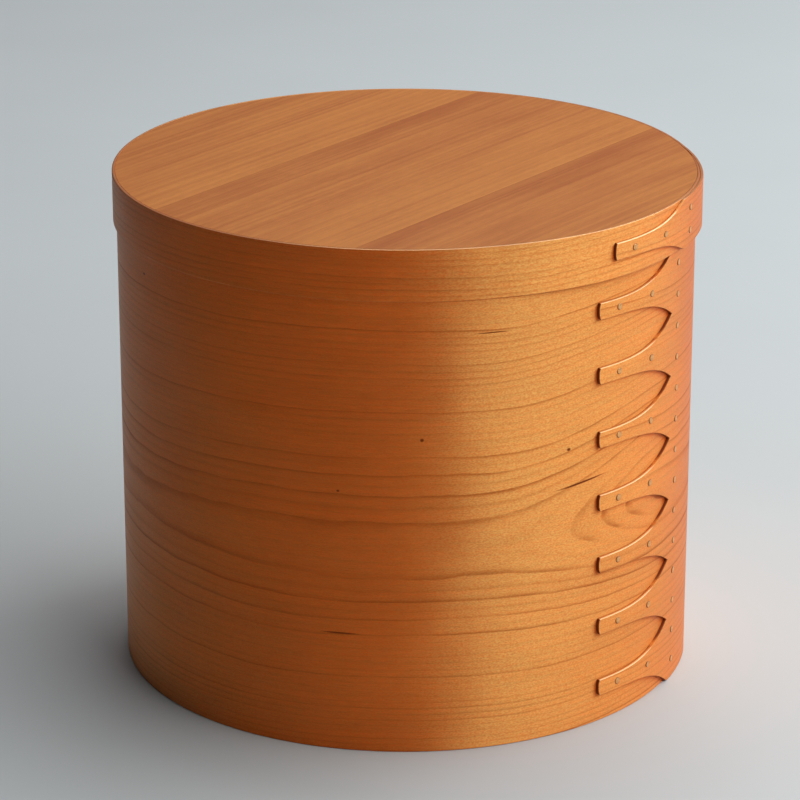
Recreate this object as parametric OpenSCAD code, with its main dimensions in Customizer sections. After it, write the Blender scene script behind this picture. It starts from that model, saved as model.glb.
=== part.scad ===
// Round bentwood pantry box with a lift-off lid, in millimetres.
// Each band is one thin strip, bent into a hoop and lapped on itself: the outer end is cut into
// swallowtail fingers, the inner end is feathered, and copper tacks hold the lap.
// The box stands on the plane z = 0 with its axis on Z, and the lap faces the front right.

/* [Box] */
// Inside diameter of the box
inside_d = 320; // [240:1:400]
// Height of the box band
box_h = 280; // [220:1:340]
// Thickness of the box strip
box_t = 2; // [1.6:0.1:3]

/* [Lid] */
// Depth of the lid band
lid_h = 28.5; // [24:0.5:40]
// Thickness of the lid strip
lid_t = 1.7; // [1.4:0.1:2.6]
// Gap between the lid band and the box inside it
lid_gap = 0.25; // [0.2:0.05:0.8]

/* [Boards] */
// Thickness of the core of the base board and of the lid board
core_t = 5.8; // [4:0.1:9]
// Thickness of a facing leaf and of a backing
leaf_t = 0.6; // [0.4:0.1:1.2]
// Width of the middle facing leaf
leaf_w = 128.5; // [90:0.5:160]
// How far the middle leaf lies off the axis
leaf_shift = 9; // [-20:0.5:20]
// Direction of the grain on the boards, degrees from X
grain_angle = 54; // [0:1:90]
// Glue line between a board and its band
glue_gap = 0.1; // [0.05:0.05:0.3]

/* [Lap] */
// Direction of the box's finger tips from the axis, degrees from X
tip_azimuth = -51.2; // [-90:0.1:0]
// Length of the lap, from the finger tips to the start of the ramp
lap_len = 118; // [100:1:130]
// Length of the ramp, where the outer layer comes down over the feathered end
ramp_len = 60; // [50:1:90]
// How far the feathered end stops short of the ramp's foot
feather_stop = 18; // [14:1:26]
// Seam between the two layers of a lap
seam = 0.1; // [0.05:0.05:0.2]

/* [Fingers] */
// Number of fingers on the box
finger_count = 7; // [4:1:9]
// Height of the lowest finger's middle
first_finger_z = 20.8; // [15:0.1:30]
// Drop from the lid's lower edge to the top finger's middle
top_finger_drop = 17.5; // [12:0.1:30]
// Length of the gaps between the box's fingers
finger_len = 68; // [54:1:72]
// Length of the cut below the lowest finger, which runs out just past the band's lower edge
bottom_run = 71; // [60:1:80]
// Length of the cut above the top finger, which runs out just past the band's upper edge
top_run = 88; // [72:1:96]
// How much farther round the box's finger tips lie at the band's foot than at its upper edge
lean = 6; // [0:0.5:8]
// Width of a box finger at its tip
tip_w = 9.2; // [6:0.1:13]
// Length of the lid finger
lid_finger_len = 69; // [54:1:72]
// Width of the lid finger at its tip
lid_tip_w = 9.6; // [6:0.1:13]
// How far the lid's finger tip lies behind the box's
lid_tip_back = 7.5; // [0:0.5:15]
// How far the lid finger lies above the middle of the lid band
lid_finger_up = 0.8; // [-2:0.1:2]
// How late the sides of a finger flare: 1 is a straight taper, 4 keeps them straight for longer
flare = 3.5; // [2:0.1:5]
// How far the corners of a finger tip are rounded back
tip_round = 1; // [0.5:0.1:3]

/* [Tacks] */
// Diameter of a tack's head
head_d = 3.8; // [2.8:0.1:5]
// Height of the head's dome
head_h = 0.5; // [0.3:0.05:1]
// Diameter of the shank under the head
shank_d = 1.4; // [1.1:0.1:2]
// Diameter of the shank at the clinched end
shank_tip_d = 0.9; // [0.6:0.1:1.1]
// Diameter of the clinched end
clinch_d = 2.2; // [1.6:0.1:3]
// Thickness of the clinched end, which lies flush in the inner face
clinch_t = 0.4; // [0.2:0.05:0.6]
// Clearance round a tack in its hole
tack_gap = 0.05; // [0.02:0.01:0.1]
// Distance from a finger's tip to its first tack
tip_tack = 15; // [10:0.5:20]
// Distance from a finger's tip to its second tack
middle_tack = 44; // [32:0.5:50]
// Distance of the root tacks behind the gaps between the fingers
root_tack = 8; // [5:0.5:10]
// Spacing of the two root tacks on the lid
lid_root_spacing = 13; // [8:0.5:16]

/* [Hidden] */
$fn = 96;
// Length that a cutting shape reaches past what it cuts
reach = 4;
// Length that a cut runs out past the edge or end of what it cuts
overrun = 1;
// Straight pieces in each side of a finger and in each half of its end
flank_steps = 12;
tip_steps = 4;
// Power of the curve that rounds a finger's end: 2 is an even bow, more keeps the middle flat
end_power = 4;

r_in = inside_d / 2;
r_box = r_in + box_t;
r_lid = r_box + lid_gap;
board_t = core_t + 2 * leaf_t;
top_z = box_h + board_t;
lid_z = top_z - lid_h;

// How far the outer layer of each lap stands out from its hoop: either layer gives up half of the seam
box_rise = box_t + seam / 2;
lid_rise = box_rise + lid_t + seam / 2;

// Angles round the axis: the ramps, the feathered ends, and the lid band's swell over the box's lap
ramp_a0 = tip_azimuth + arc_deg(lap_len);
ramp_a1 = ramp_a0 + arc_deg(ramp_len);
feather_a1 = ramp_a1 - arc_deg(feather_stop);
lid_tip_azimuth = tip_azimuth + arc_deg(lid_tip_back);
swell_a1 = lid_tip_azimuth - arc_deg(2 * reach);
swell_a0 = swell_a1 - arc_deg(ramp_len);

// A lap is [inner radius of its hoop, rise, start angle, start of the ramp, foot of the ramp]
BOX_LAP = [r_in, box_rise, tip_azimuth - arc_deg(reach), ramp_a0, ramp_a1];
LID_LAP = [r_lid, lid_rise, lid_tip_azimuth - arc_deg(reach), ramp_a0, ramp_a1 + arc_deg(reach)];

finger_pitch = (lid_z - top_finger_drop - first_finger_z) / (finger_count - 1);
lid_finger_z = lid_z + lid_h / 2 + lid_finger_up;
box_facing = tip_azimuth + arc_deg(finger_len / 2);
lid_facing = lid_tip_azimuth + arc_deg(lid_finger_len / 2);
box_grip = box_rise + box_t;
lid_grip = lid_rise - box_rise + lid_t;

BAND_COLOR = "#b9722f";
BOARD_COLOR = "#b06b37";
CORE_COLOR = "#cba36f";
COPPER_COLOR = "#b5714c";

FINGER_TACKS = [for (k = [1 : finger_count]) str("finger_", k, "_tacks")];

function arc_deg(length) = length / r_box * 180 / PI;
function toward(a) = [cos(a), sin(a)];
function finger_z(k) = first_finger_z + (k - 1) * finger_pitch;

// Moves a place on the box's lap, [distance from the finger tips, height], as far round as the fingers
// lean at that height
function leant(place) = [place[0] + lean * (1 - place[1] / box_h), place[1]];

// Tack places on a lap laid flat: [distance from the finger tips, height].
// The root tacks of all fingers stand in one row, half a pitch apart.
function box_tacks(k) = [
    leant([tip_tack, finger_z(k)]),
    leant([middle_tack, finger_z(k)]),
    leant([finger_len + root_tack, finger_z(k) - finger_pitch / 4]),
    leant([finger_len + root_tack, finger_z(k) + finger_pitch / 4])
];
LID_TACKS = [
    [tip_tack, lid_finger_z],
    [middle_tack, lid_finger_z],
    [lid_finger_len + root_tack, lid_finger_z - lid_root_spacing / 2],
    [lid_finger_len + root_tack, lid_finger_z + lid_root_spacing / 2]
];

box_fingers = [for (k = [1 : finger_count]) finger_z(k)];
box_line = [for (p = finger_line(0, box_h, box_fingers, tip_w, bottom_run, top_run, finger_len)) leant(p)];
lid_line = finger_line(
    lid_z, top_z, [lid_finger_z], lid_tip_w, lid_finger_len, lid_finger_len, lid_finger_len
);

// Flat wedge between two directions from the axis
module wedge(a0, a1) {
    steps = 4;
    polygon(concat([[0, 0]], [for (i = [0 : steps]) 2 * r_lid * toward(a0 + (a1 - a0) * i / steps)]));
}

// Off-centre disc whose edge runs from radius r + rise at one angle to radius r at the other
module ramp_disc(r, rise, high_a, low_a, grow) {
    middle = (high_a + low_a) / 2;
    shift = rise / (2 * sin((low_a - high_a) / 2));
    translate(-shift * toward(middle + 90))
        circle(sqrt(r ^ 2 + shift ^ 2 + r * rise) + grow);
}

// Flat disc that fills a lap up to a face of its outer layer: grow 0 is the inner face
module lap_disc(lap, grow) {
    intersection() {
        circle(lap[0] + lap[1] + grow);
        ramp_disc(lap[0], lap[1], lap[3], lap[4], grow);
    }
}

// The part of such a disc that lies under the lap
module lap_sector(lap, grow) {
    intersection() {
        lap_disc(lap, grow);
        wedge(lap[2], lap[4] + arc_deg(reach));
    }
}

// Flat shape of the box's inside, swollen where the lap lies: grown by the wall it is the lid's hoop
module swollen(grow) {
    circle(r_in + grow);
    intersection() {
        circle(r_in + box_rise + grow);
        ramp_disc(r_in, box_rise, swell_a1, swell_a0, grow);
        ramp_disc(r_in, box_rise, ramp_a0, ramp_a1, grow);
        wedge(swell_a0 - arc_deg(reach), ramp_a1 + arc_deg(reach));
    }
}

// Cuts that part the two layers of a lap: the seam, and the space past the feathered end
module lap_seam(lap) {
    intersection() {
        difference() {
            lap_disc(lap, 0);
            lap_disc(lap, -seam);
        }
        wedge(lap[2] - arc_deg(overrun), lap[4]);
    }
    intersection() {
        lap_disc(lap, 0);
        wedge(feather_a1, lap[4] + arc_deg(reach));
    }
}

module box_plan() {
    difference() {
        union() {
            circle(r_box);
            lap_sector(BOX_LAP, box_t);
        }
        circle(r_in);
        lap_seam(BOX_LAP);
    }
}

module lid_plan() {
    difference() {
        union() {
            swollen(box_t + lid_gap + lid_t);
            lap_sector(LID_LAP, lid_t);
        }
        swollen(box_t + lid_gap);
        lap_seam(LID_LAP);
    }
}

// One side of the gap between two fingers: from the tips at s = 0 it keeps its half width, then closes to
// a point at s = length. The list runs towards the point, or away from it where inward is false.
function gap_side(middle, half, length, inward) = [
    for (i = [1 : flank_steps])
        let (u = (inward ? i : flank_steps + 1 - i) / flank_steps)
            [length * u, middle + half * (1 - u ^ flare)]
];

// End of a finger, from its lower corner to its upper one: flat, with the corners rounded back
function finger_end(middle, width) = [
    for (i = [-tip_steps : tip_steps])
        let (v = i / tip_steps)
            [tip_round * v ^ end_power, middle + v * width / 2]
];

// Line along which a row of fingers is cut, from the band's lower edge to its upper one
function finger_line(low, high, middles, width, low_run, high_run, length) = [
    for (k = [0 : len(middles) - 1])
        each concat(
            k == 0
                ? gap_side(low - overrun, middles[k] - width / 2 - low + overrun, low_run, false)
                : gap_side(mid_gap(middles, k), half_gap(middles, k, width), length, false),
            finger_end(middles[k], width),
            k == len(middles) - 1
                ? gap_side(high + overrun, middles[k] + width / 2 - high - overrun, high_run, true)
                : gap_side(mid_gap(middles, k + 1), -half_gap(middles, k + 1, width), length, true)
        )
];
function mid_gap(middles, k) = (middles[k - 1] + middles[k]) / 2;
function half_gap(middles, k, width) = (middles[k] - middles[k - 1] - width) / 2;

// Flat waste in front of a row of fingers: distance from the tips across, height up
module finger_waste(low, high, line) {
    polygon(concat(
        [[-3 * reach, low - reach], [line[0][0], low - reach]],
        line,
        [[line[len(line) - 1][0], high + reach], [-3 * reach, high + reach]]
    ));
}

// Pushes a flat cut straight through the outer layer of a lap, whose inner face has radius r, into the seam
module cut_layer(facing, middle_s, r) {
    difference() {
        rotate(facing)
            translate([r_in / 2, -middle_s, 0])
                rotate([90, 0, 90])
                    linear_extrude(r_in)
                        children();
        translate([0, 0, -2 * reach])
            cylinder(r = r - seam / 4, h = top_z + 4 * reach);
    }
}

// Copper tack: domed head, tapered shank, and an end clinched flat on the inside
module tack(grip) {
    dome_r = ((head_d / 2) ^ 2 + head_h ^ 2) / (2 * head_h);
    rotate_extrude() {
        intersection() {
            translate([0, head_h - dome_r]) circle(dome_r);
            square([head_d / 2, head_h]);
        }
        polygon([[0, -grip], [shank_tip_d / 2, -grip], [shank_d / 2, 0], [0, 0]]);
        translate([0, -grip]) square([clinch_d / 2, clinch_t]);
    }
}

// Hole for a tack, with the pocket that its clinched end fills
module tack_hole(grip) {
    translate([0, 0, -grip - reach])
        cylinder(r = shank_d / 2 + tack_gap, h = grip + 2 * reach);
    translate([0, 0, -grip - reach])
        cylinder(r = clinch_d / 2 + tack_gap, h = reach + clinch_t + tack_gap);
}

// Sets a tack at a place on a lap, square to the lap's outer face of radius r
module at_lap(facing, middle_s, r, place) {
    rotate(facing + asin((place[0] - middle_s) / r))
        translate([r, 0, place[1]])
            rotate([0, 90, 0])
                children();
}

module on_box(place) {
    at_lap(box_facing, finger_len / 2, r_box + box_rise, place) children();
}

module on_lid(place) {
    at_lap(lid_facing, lid_finger_len / 2, r_lid + lid_rise + lid_t, place) children();
}

module box_band() {
    color(BAND_COLOR)
        difference() {
            linear_extrude(box_h) box_plan();
            cut_layer(box_facing, finger_len / 2, r_in + box_rise)
                finger_waste(0, box_h, box_line);
            for (k = [1 : finger_count], p = box_tacks(k)) on_box(p) tack_hole(box_grip);
        }
}

module finger_tacks(k) {
    color(COPPER_COLOR)
        for (p = box_tacks(k)) on_box(p) tack(box_grip);
}

module lid_band() {
    color(BAND_COLOR)
        difference() {
            translate([0, 0, lid_z]) linear_extrude(lid_h) lid_plan();
            cut_layer(lid_facing, lid_finger_len / 2, r_lid + lid_rise)
                finger_waste(lid_z, top_z, lid_line);
            for (p = LID_TACKS) on_lid(p) tack_hole(lid_grip);
        }
}

module lid_tacks() {
    color(COPPER_COLOR)
        for (p = LID_TACKS) on_lid(p) tack(lid_grip);
}

module base_sheet(z, t) {
    translate([0, 0, z]) cylinder(r = r_in - glue_gap, h = t);
}

module lid_sheet(z, t) {
    translate([0, 0, z]) linear_extrude(t) swollen(box_t + lid_gap - glue_gap);
}

// Strip of a board that one facing leaf covers: side -1 is left of the middle leaf, 1 is right of it
module leaf_zone(side) {
    length = 3 * r_lid;
    width = side == 0 ? leaf_w : length;
    low = side == 0 ? -leaf_w / 2 : side < 0 ? -leaf_w / 2 - length : leaf_w / 2;
    rotate(grain_angle - 90)
        translate([leaf_shift + low, -length / 2, -reach])
            cube([width, length, top_z + 2 * reach]);
}

module base_backing() {
    color(BOARD_COLOR) base_sheet(0, leaf_t);
}

module base_core() {
    color(CORE_COLOR) base_sheet(leaf_t, core_t);
}

module base_leaf(side) {
    color(BOARD_COLOR)
        intersection() {
            base_sheet(leaf_t + core_t, leaf_t);
            leaf_zone(side);
        }
}

module lid_lining() {
    color(BOARD_COLOR) lid_sheet(box_h, leaf_t);
}

module lid_core() {
    color(CORE_COLOR) lid_sheet(box_h + leaf_t, core_t);
}

module lid_leaf(side) {
    color(BOARD_COLOR)
        intersection() {
            lid_sheet(box_h + leaf_t + core_t, leaf_t);
            leaf_zone(side);
        }
}

box_band();
base_backing();
base_core();
base_leaf(-1);  // base_leaf_left
base_leaf(0);  // base_leaf_middle
base_leaf(1);  // base_leaf_right
for (k = [1 : finger_count])
    finger_tacks(k);
lid_band();
lid_lining();
lid_core();
lid_leaf(-1);  // lid_leaf_left
lid_leaf(0);  // lid_leaf_middle
lid_leaf(1);  // lid_leaf_right
lid_tacks();
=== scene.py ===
"""Looks of a round bentwood pantry box: bent cherry bands, veneered boards and copper tacks.

Each band is cut as a flat strip with its fingers, then bent into a hoop by one rule, so that the
grain follows the strip.
"""

import math
from collections import namedtuple
from functools import partial, partialmethod
from types import SimpleNamespace

import bpy
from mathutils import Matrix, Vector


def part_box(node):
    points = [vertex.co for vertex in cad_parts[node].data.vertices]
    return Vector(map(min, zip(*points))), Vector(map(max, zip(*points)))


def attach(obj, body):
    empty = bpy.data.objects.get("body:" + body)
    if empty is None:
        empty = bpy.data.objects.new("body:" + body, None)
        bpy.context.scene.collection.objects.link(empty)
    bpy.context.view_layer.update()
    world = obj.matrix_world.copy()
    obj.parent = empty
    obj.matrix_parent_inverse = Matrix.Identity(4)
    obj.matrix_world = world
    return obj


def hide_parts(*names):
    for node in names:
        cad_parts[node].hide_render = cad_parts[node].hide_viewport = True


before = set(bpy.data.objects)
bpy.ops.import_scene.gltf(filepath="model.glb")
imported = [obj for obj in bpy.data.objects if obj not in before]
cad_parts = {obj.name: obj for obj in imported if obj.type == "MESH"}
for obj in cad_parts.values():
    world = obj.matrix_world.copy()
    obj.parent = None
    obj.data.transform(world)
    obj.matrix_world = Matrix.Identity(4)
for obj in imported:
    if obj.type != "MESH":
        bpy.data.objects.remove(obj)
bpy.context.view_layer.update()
BOX_LOW, BOX_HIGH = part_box("box_band")
LID_LOW, LID_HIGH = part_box("lid_band")

bl_info = {
    "name": "Bentwood Pantry Box",
    "version": (1, 0, 0),
    "blender": (4, 5, 0),
    "location": "View3D > Sidebar > Pantry Box",
    "description": "Bends, tacks and finishes a lapped round box on its packed frame",
    "category": "Add Mesh",
}

BOARD_NODES = (
    "lid_leaf_left", "lid_leaf_middle", "lid_leaf_right", "lid_lining",
    "base_leaf_left", "base_leaf_middle", "base_leaf_right", "base_backing",
)
CORE_NODES = ("lid_core", "base_core")

# Rows in from a rounded edge, in roundings, and the flat row that follows them
EASE_ROWS = [1 - math.sin(math.radians(a)) for a in (90, 67.5, 45, 22.5, 0)] + [1.7]
FLAT_ROWS = 3
# Spacing of the columns along the fingers, past their roots and round the hoop
FINGER_STEP = 0.0026
ROOT_STEP = 0.0016
HOOP_STEP = math.radians(1.25)
# Even columns start after an edge and stop before a gap's end, in roundings
AFTER_EDGE = 3.2
BEFORE_GAP_END = 2.6
GAP_END_COLUMNS = (-1.3, -0.5, 0, 0.25, 0.6, 1.0, 1.7)
# How far the columns run on past the roots, and the outermost cuts past the band's edges
ROOT_MARGIN = 0.006
OVERRUN = 0.001
# Columns over which the lean of the fingers dies away
LEAN_COLUMNS = 30
# Length of a tip over which its corners are rounded back
TIP_LENGTH = 0.010
# A length that counts as none, and the step for finding a slope
NOTHING = 1e-9
NUDGE = 1e-5
SHARP_EDGE = math.radians(50)
# Rounding of the inner edges, as a share of the outer
INNER_EASE = 0.45

# Looks of an edge go from 1, pale, to -1, dark. Pale is sanded wood and a painted highlight, laid
# on upward sides and the top rim only; dark is end grain, and painted shade along a band's lower
# edge. A cut turns dark between these slopes
GRAIN_SLOPES = (0.18, 0.50)
# Top rim: a little pale, partly a painted highlight. Foot: the dark line where a side meets the
# layer under it
RIM_LOOK = 0.30
FOOT_LOOK = -0.6
# How strongly a dark look reaches over the rounding of an edge
DARK_REACH = 0.35

TACK_SEEDS = {"box": 4, "lid": 9}
CLINCH_HEIGHT = 0.00012
TACK_TILT, TACK_SPIN = 0.05, 3.0
TACK_LEAST, TACK_MOST = (0.94, 0.94, 0.9), (1.05, 1.05, 1.0)

FLOOR_HALF = 8.0
FLOOR_HEIGHT = -0.0002
SENSOR_WIDTH = 36.0
LAMP_TARGET = (0.0, 0.0, 0.14)
WINDOW_TONE, OVERHEAD_TONE = (0.96, 0.99, 1.0), (0.96, 0.98, 1.0)


def declared(make, description, default, **kind):
    return make, {"description": description, "default": default, **kind}


number = partial(declared, bpy.props.FloatProperty)
length = partial(number, precision=5, subtype="DISTANCE", unit="LENGTH")
angle = partial(number, subtype="ANGLE", unit="ROTATION")
share = partial(number, min=0, max=1, subtype="FACTOR")
power = partial(number, min=0, unit="POWER")
lengths = partial(declared, bpy.props.FloatVectorProperty, subtype="XYZ", unit="LENGTH")
colour = partial(declared, bpy.props.FloatVectorProperty, min=0, max=1, subtype="COLOR")


def titled(group):
    """Makes the declared properties of a group, each named after its key."""
    for key, (make, values) in group.__annotations__.items():
        group.__annotations__[key] = make(name=key.replace("_", " ").title(), **values)
    return group


@titled
class PantryBoxSizes(bpy.types.PropertyGroup):
    """Sizes of the bands and their tacks."""

    inside_radius: length("Radius of the space in the box", 0.160)
    box_foot: length("Lower edge of the box band", round(BOX_LOW.z, 5))
    box_rim: length("Upper edge of the box band", round(BOX_HIGH.z, 5))
    box_wall: length("Thickness of the box strip", 0.0020)
    lid_foot: length("Lower edge of the lid band", round(LID_LOW.z, 5))
    lid_rim: length("Upper edge of the lid band", round(LID_HIGH.z, 5))
    lid_wall: length("Thickness of the lid strip", 0.0017)
    lid_gap: length("Gap between the lid band and the box", 0.00025)
    seam: length("Seam between the two layers of a lap", 0.0001)
    skin: length("From the outer faces out to the frame's", 0.00004)
    clearance: length("From the ends of the box's lap to the lid's", 0.004)
    box_ease: length("Rounding of the box strip's outer edges", 0.00032)
    lid_ease: length("Rounding of the lid strip's outer edges", 0.00045)

    tip_angle: angle("Direction of the box's finger tips", math.radians(-51.2))
    lap_length: length("From the finger tips to the ramp", 0.118)
    ramp_length: length("Where the outer layer comes down", 0.060)
    feather_stop: length("From the feathered end to the ramp's foot", 0.018)

    finger_count: declared(bpy.props.IntProperty, "Fingers on the box", 7, min=1)
    first_finger: length("Middle of the lowest finger", 0.0208)
    top_finger_drop: length("From the lid to the top finger's middle", 0.0175)
    finger_length: length("Length of the gaps between fingers", 0.068)
    bottom_run: length("Length of the cut below the lowest finger", 0.071)
    top_run: length("Length of the cut above the top finger", 0.088)
    lean: length("From the top tip round to the lowest", 0.006)
    tip_width: length("Width of a finger at its tip", 0.0092)
    lid_finger_length: length("Length of the lid's finger", 0.069)
    lid_tip_width: length("Width of the lid's finger at its tip", 0.0096)
    lid_tip_back: length("From the box's tips to the lid's", 0.0075)
    lid_finger_up: length("From the lid band's middle to its finger's", 0.0008)
    flare: share("How late the sides of a finger flare", 3.5, max=6.0)
    tip_round: length("Rounding back of a tip's corners", 0.0010)

    head_diameter: length("Diameter of a tack's head", 0.0038)
    head_height: length("Height of a tack's dome", 0.0005)
    shank_diameter: length("Diameter of a tack's shank", 0.0014)
    clinch_diameter: length("Diameter of a tack's clinched end", 0.0022)
    tip_tack: length("From a finger's tip to its first tack", 0.015)
    middle_tack: length("From a finger's tip to its second tack", 0.044)
    root_tack: length("From the gaps' ends to the root tacks", 0.008)
    lid_root_spacing: length("Spacing of the lid's two root tacks", 0.013)


@titled
class PantryBoxFinish(bpy.types.PropertyGroup):
    """Colours and gloss of the wood and the copper."""

    wood_light: colour("Cherry between the rings", (0.720, 0.092, 0.001))
    wood_deep: colour("Redder cherry in broad patches", (0.615, 0.070, 0.001))
    wood_line: colour("Dark line that ends a ring", (0.170, 0.024, 0.002))
    # The end-grain colour is also laid along the bands' lower edges, as painted shade
    wood_end: colour("Dark wood of a strip cut across", (0.190, 0.034, 0.007))
    # The pale edge colour goes only on upward sides and the top rim: sanded wood and a painted
    # highlight
    wood_edge: colour("Paler wood where an edge is sanded", (1.0, 0.740, 0.460))
    gum: colour("Gum streaks and flecks in the wood", (0.035, 0.008, 0.003))
    board_light: colour("Palest streaks of the leaves", (0.720, 0.272, 0.077))
    board_dark: colour("Darkest streaks of the leaves", (0.415, 0.104, 0.037))
    core_pale: colour("Plies of the boards' core", (0.620, 0.420, 0.230))
    copper: colour("Clean copper of the tacks", (0.900, 0.450, 0.170))
    # Also darkens the rims of the tack heads, as painted shade where they meet the wood
    tarnish: colour("Darker copper round the heads' rims", (0.200, 0.065, 0.022))
    sheen: colour("Tint of the light thrown back by the wood", (0.98, 0.73, 0.23))
    shine: share("Share of golden light from the fibres", 0.228)
    upward: share("How far the facets of the fibres lean up", 0.40)
    roughness: share("Roughness of the satin finish", 0.41)
    ring_spacing: length("Usual distance between rings", 0.0034)
    leaf_width: length("Width of one facing leaf", 0.1285)
    leaf_joint: length("From the axis to the first glue joint", -0.05525)
    grain_angle: angle("Direction of the grain on the boards", math.radians(54))


@titled
class PantryBoxStage(bpy.types.PropertyGroup):
    """Floor, light and camera."""

    floor: colour("Pale floor", (0.635, 0.668, 0.676))
    key_power: power("Wide window on the right", 112)
    key_place: lengths("Middle of the window", (2.2, -0.48, 1.5))
    key_size: lengths("Width and height of the window", (6.2, 1.5), size=2)
    sky_power: power("Soft light from above", 49)
    sky_place: lengths("Middle of the light from above", (0.6, 1.2, 2.8))
    sky_size: lengths("Width and depth of that light", (2.4, 2.4), size=2)
    room: colour("Light of the room all round", (0.03, 0.031, 0.031))
    focal: number("Camera lens in millimetres", 160.6, min=1)
    distance: length("From the camera to its aim", 2.05)
    elevation: angle("Camera above the horizon", math.radians(19.75))
    aim: length("Height that the camera looks at", 0.1458)
    aside: length("From the axis left to the camera", 0.0026)


class Field:
    """One socket of a node tree. Arithmetic on it adds Math nodes."""

    def __init__(self, nodes, socket):
        self.nodes = nodes
        self.socket = socket

    def math(self, operation, *others):
        return self.nodes.math(operation, self, *others)

    def __rsub__(self, other):
        return self.nodes.math("SUBTRACT", other, self)

    def step(self, low, high, start=0.0, end=1.0):
        """Goes smoothly from start to end as the field goes from low to high."""
        return self.nodes.add(
            "ShaderNodeMapRange",
            {"interpolation_type": "SMOOTHSTEP"},
            {"Value": self, "From Min": low, "From Max": high, "To Min": start, "To Max": end},
        )


FIELD_MATHS = {
    "__add__": "ADD", "__sub__": "SUBTRACT", "__mul__": "MULTIPLY", "__truediv__": "DIVIDE",
    "__pow__": "POWER", "__lt__": "LESS_THAN", "__gt__": "GREATER_THAN", "least": "MINIMUM",
    "most": "MAXIMUM", "floor": "FLOOR", "magnitude": "ABSOLUTE", "pingpong": "PINGPONG",
    "sine": "SINE", "cosine": "COSINE",
}
for method, operation in FIELD_MATHS.items():
    setattr(Field, method, partialmethod(Field.math, operation))

# A noise: its scales per metre along and across the grain and through the wood
Cloud = namedtuple("Cloud", "along across through detail shift", defaults=(0.0, 2.0, 0.0))


class Nodes:
    """The nodes of one shader or geometry tree."""

    GRID_ROWS, COLUMN_WIDTH, ROW_HEIGHT = 10, 200, 170
    # Places of the colour sockets on a Mix node
    MIX_FIRST, MIX_SECOND, MIX_RESULT = 6, 7, 2

    def __init__(self, tree):
        self.tree = tree

    def add(self, kind, settings=None, values=None, out=0):
        """Adds a node, with its settings and its sockets set or linked. Gives one output."""
        node = self.tree.nodes.new(kind)
        column, row = divmod(len(self.tree.nodes) - 1, self.GRID_ROWS)
        node.location = (self.COLUMN_WIDTH * column, -self.ROW_HEIGHT * row)
        for key, value in (settings or {}).items():
            setattr(node, key, value)
        for key, value in (values or {}).items():
            if isinstance(value, Field):
                self.tree.links.new(value.socket, node.inputs[key])
            else:
                node.inputs[key].default_value = value
        return Field(self, node.outputs[out]) if node.outputs else None

    def math(self, operation, *values):
        return self.add("ShaderNodeMath", {"operation": operation}, dict(enumerate(values)))

    def parts(self, vector):
        """The three numbers of a vector."""
        return [self.add("ShaderNodeSeparateXYZ", values={0: vector}, out=i) for i in range(3)]

    def vector(self, x, y, z=0.0):
        return self.add("ShaderNodeCombineXYZ", values={0: x, 1: y, 2: z})

    def attribute(self, name, out):
        return self.add("ShaderNodeAttribute", {"attribute_name": name}, out=out)

    def object_place(self):
        """A point's place on its object."""
        return self.parts(self.add("ShaderNodeTexCoord", out="Object"))

    def noise(self, cloud, x, y, z=0.0):
        """A cloudy value from 0 to 1."""
        at = self.vector(x * cloud.along, y * cloud.across, z * cloud.through + cloud.shift)
        return self.add(
            "ShaderNodeTexNoise", values={"Vector": at, "Scale": 1.0, "Detail": cloud.detail}
        )

    def swing(self, cloud, x, y, z=0.0):
        """A cloudy value to both sides of nought."""
        return self.noise(cloud, x, y, z) - 0.5

    def ramp(self, value, stops):
        """Reads a value off a row of stops."""
        field = self.add("ShaderNodeValToRGB", values={0: value})
        elements = field.socket.node.color_ramp.elements
        for element, (at, tone) in zip(elements, (stops[0], stops[-1])):
            element.position = at
            element.color = (tone, tone, tone, 1.0)
        for at, tone in stops[1:-1]:
            elements.new(at).color = (tone, tone, tone, 1.0)
        return field

    def tint(self, amount, first, second, blend="MIX"):
        """Goes from one colour to another."""
        values = {0: amount}
        for key, tone in ((self.MIX_FIRST, first), (self.MIX_SECOND, second)):
            values[key] = tone if isinstance(tone, Field) else (*tone, 1.0)
        settings = {"data_type": "RGBA", "blend_type": blend}
        return self.add("ShaderNodeMix", settings, values, out=self.MIX_RESULT)

    def shaded(self, tone, shade):
        """A colour made lighter or darker."""
        return self.tint(1.0, tone, self.vector(shade, shade, shade), "MULTIPLY")

    def bumped(self, height, depth):
        """Normal of a surface with fine relief."""
        return self.add(
            "ShaderNodeBump", values={"Height": height, "Strength": 0.5, "Distance": depth}
        )

    def raised(self, normal, amount):
        """A normal that leans up by a share of its length."""
        up = (0.0, 0.0, amount)
        leaning = self.add("ShaderNodeVectorMath", {"operation": "ADD"}, {0: normal, 1: up})
        return self.add("ShaderNodeVectorMath", {"operation": "NORMALIZE"}, {0: leaning})

    def surface(self, **values):
        """A Principled shader, whose socket names are given with _ for each space."""
        named = {key.replace("_", " "): value for key, value in values.items()}
        return self.add("ShaderNodeBsdfPrincipled", values=named)

    def blend(self, amount, first, second):
        """Goes from one shader to another."""
        return self.add("ShaderNodeMixShader", values={0: amount, 1: first, 2: second})

    def store(self, geometry, name, value, kind):
        """Keeps a value of each point in a named attribute."""
        return self.add(
            "GeometryNodeStoreNamedAttribute",
            {"data_type": kind, "domain": "POINT"},
            {"Geometry": geometry, "Name": name, "Value": value},
        )

    def chance(self, least, most, seed):
        """Three numbers by chance for each point."""
        return self.add(
            "FunctionNodeRandomValue",
            {"data_type": "FLOAT_VECTOR"},
            {"Min": least, "Max": most, "Seed": seed},
        )


def finish_material(name, paint, *looks):
    """A material whose nodes are laid by a paint function, which gives its shader."""
    material = bpy.data.materials.new(name)
    material.use_nodes = True
    material.node_tree.nodes.clear()
    nodes = Nodes(material.node_tree)
    nodes.add("ShaderNodeOutputMaterial", values={"Surface": paint(nodes, *looks)})
    return material


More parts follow.
